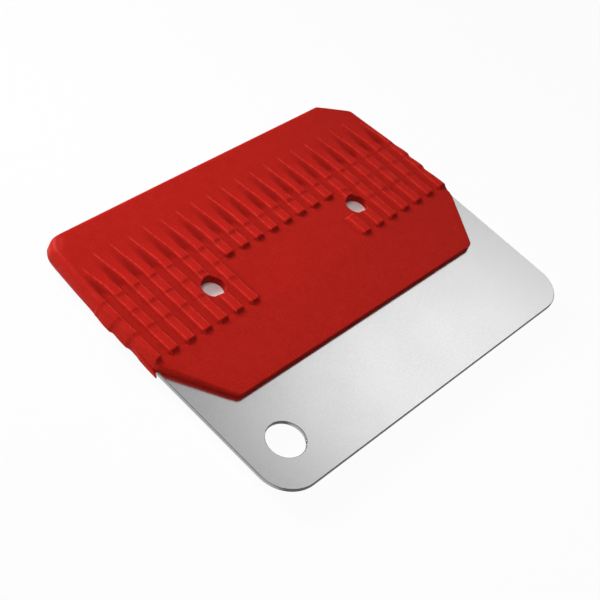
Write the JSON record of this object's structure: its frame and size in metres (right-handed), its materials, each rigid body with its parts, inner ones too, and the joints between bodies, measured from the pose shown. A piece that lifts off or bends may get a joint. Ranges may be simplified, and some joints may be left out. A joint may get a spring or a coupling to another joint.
{
  "type": "ski wax scraper",
  "caption": "Flat hand scraper for ski wax: a wide steel blade with rounded corners and a hanging hole, held in a slim ribbed plastic handle.",
  "frame": {"origin": "centre of the bounding box in plan, on the plane that the scraper's back lies on", "axes": "+X along the scraping edge, with the hanging hole on the -X side; +Y from the scraping edge to the top of the handle; +Z out of the front face"},
  "size_m": [0.1008, 0.0782, 0.0066],
  "materials": {
    "red_plastic": "fine matte, as moulded",
    "satin_steel": "satin, with a thin darker edge"
  },
  "bodies": {
    "root": {"handle_moulding": "red_plastic", "steel_blade": "satin_steel"}
  },
  "joints": []
}
